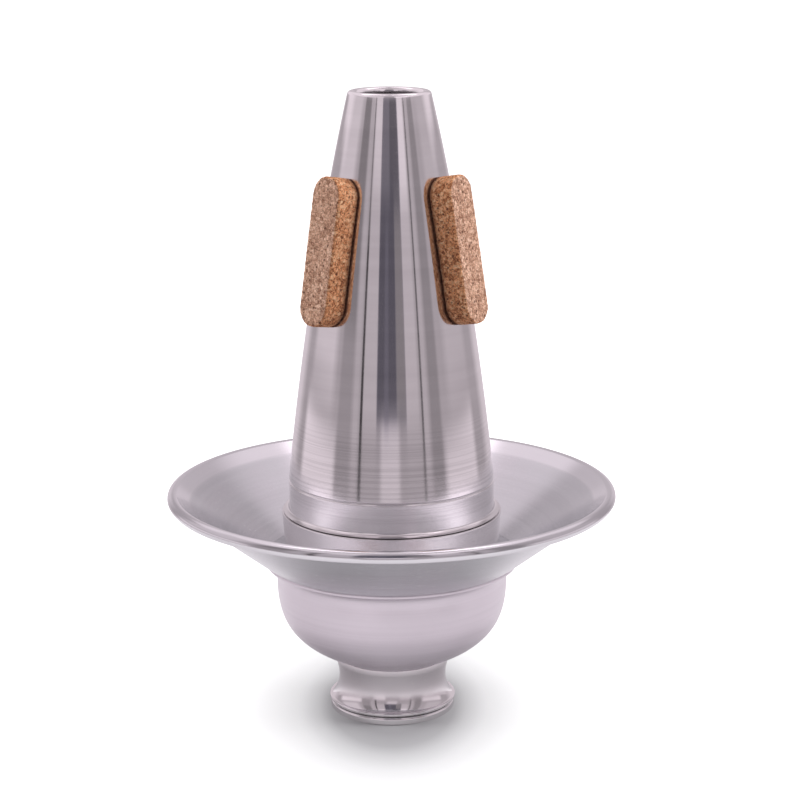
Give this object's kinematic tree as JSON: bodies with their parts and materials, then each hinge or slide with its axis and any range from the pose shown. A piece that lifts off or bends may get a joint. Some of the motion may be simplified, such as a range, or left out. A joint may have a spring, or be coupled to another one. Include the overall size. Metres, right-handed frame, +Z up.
{
  "type": "trumpet mute",
  "caption": "Adjustable cup mute: a tapered hollow mute with cork pads that slides and turns in a footed bowl with a wide flared brim.",
  "frame": {"origin": "centre of the foot, on the surface that it stands on", "axes": "+Z up along the turning axis, towards the mouth of the mute; -Y towards the viewer of the picture, +X to the viewer's right"},
  "size_m": [0.1202, 0.1202, 0.1678],
  "materials": {
    "polished_aluminium": "polished, with fine turning lines",
    "brim_aluminium": "satin, brushed round the rim",
    "satin_aluminium": "satin, turned",
    "cork": "sanded pressed cork",
    "felt": "dark felt"
  },
  "bodies": {
    "cup": {"cup_brim": "brim_aluminium", "cup_bowl": "satin_aluminium", "foot_shell": "polished_aluminium", "foot_base": "satin_aluminium", "foot_rivet": "satin_aluminium"},
    "lining": {"friction_lining": "felt"},
    "mute": {"cone_shell": "polished_aluminium", "end_drum": "satin_aluminium", "cork_left": "cork", "cork_right": "cork", "cork_back": "cork"}
  },
  "joints": [
    {"name": "cup_turn", "type": "hinge", "parent": "cup", "child": "lining", "pos_m": [0, 0, 0.03855], "axis": [0, 0, 1], "continuous": true},
    {"name": "mute_slide", "type": "slide", "parent": "lining", "child": "mute", "axis": [0, 0, 1], "range_m": [0, 0.046]}
  ]
}
